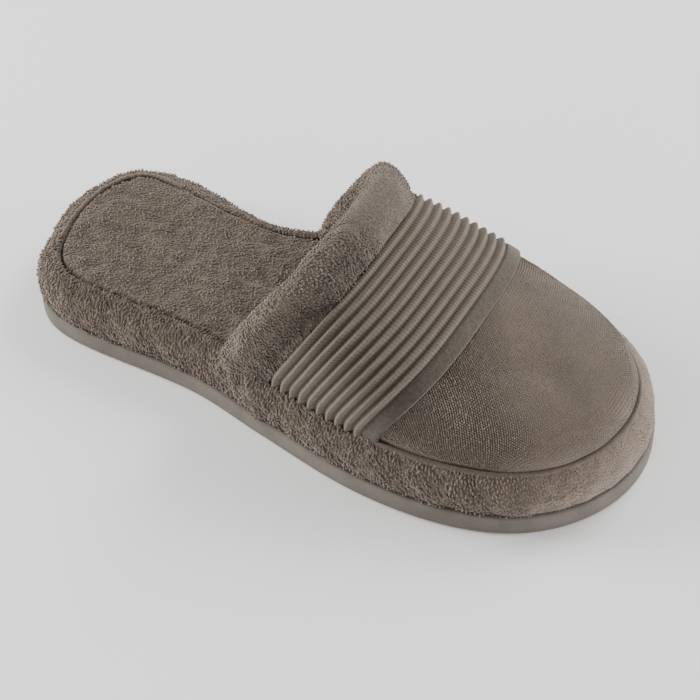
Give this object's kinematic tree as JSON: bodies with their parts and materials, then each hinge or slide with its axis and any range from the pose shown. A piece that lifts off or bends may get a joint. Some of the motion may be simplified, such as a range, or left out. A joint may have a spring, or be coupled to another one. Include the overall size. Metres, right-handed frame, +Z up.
{
  "type": "house shoe",
  "caption": "Right-foot terry mule with closed toe, open back, ribbed instep band, padded throat cuff and a terry-wrapped platform on a flat sheet outsole.",
  "frame": {"origin": "middle of the outline on the floor plane, under the outsole", "axes": "+X towards the toe, +Y towards the wearer's left, +Z up"},
  "size_m": [0.265, 0.1156, 0.0824],
  "materials": {
    "sole_sheet": "matt foam sheet",
    "terry_wrap": "looped terry with a lengthwise streak",
    "terry_sock": "matted looped terry",
    "terry_upper": "short looped terry",
    "rib_cord": "smooth round cords",
    "terry_cuff": "padded looped terry"
  },
  "bodies": {
    "root": {"outsole": "sole_sheet", "wrapped_midsole": "terry_wrap", "insole": "terry_sock", "upper": "terry_upper", "rib_band": "rib_cord", "collar_cuff": "terry_cuff"}
  },
  "joints": []
}
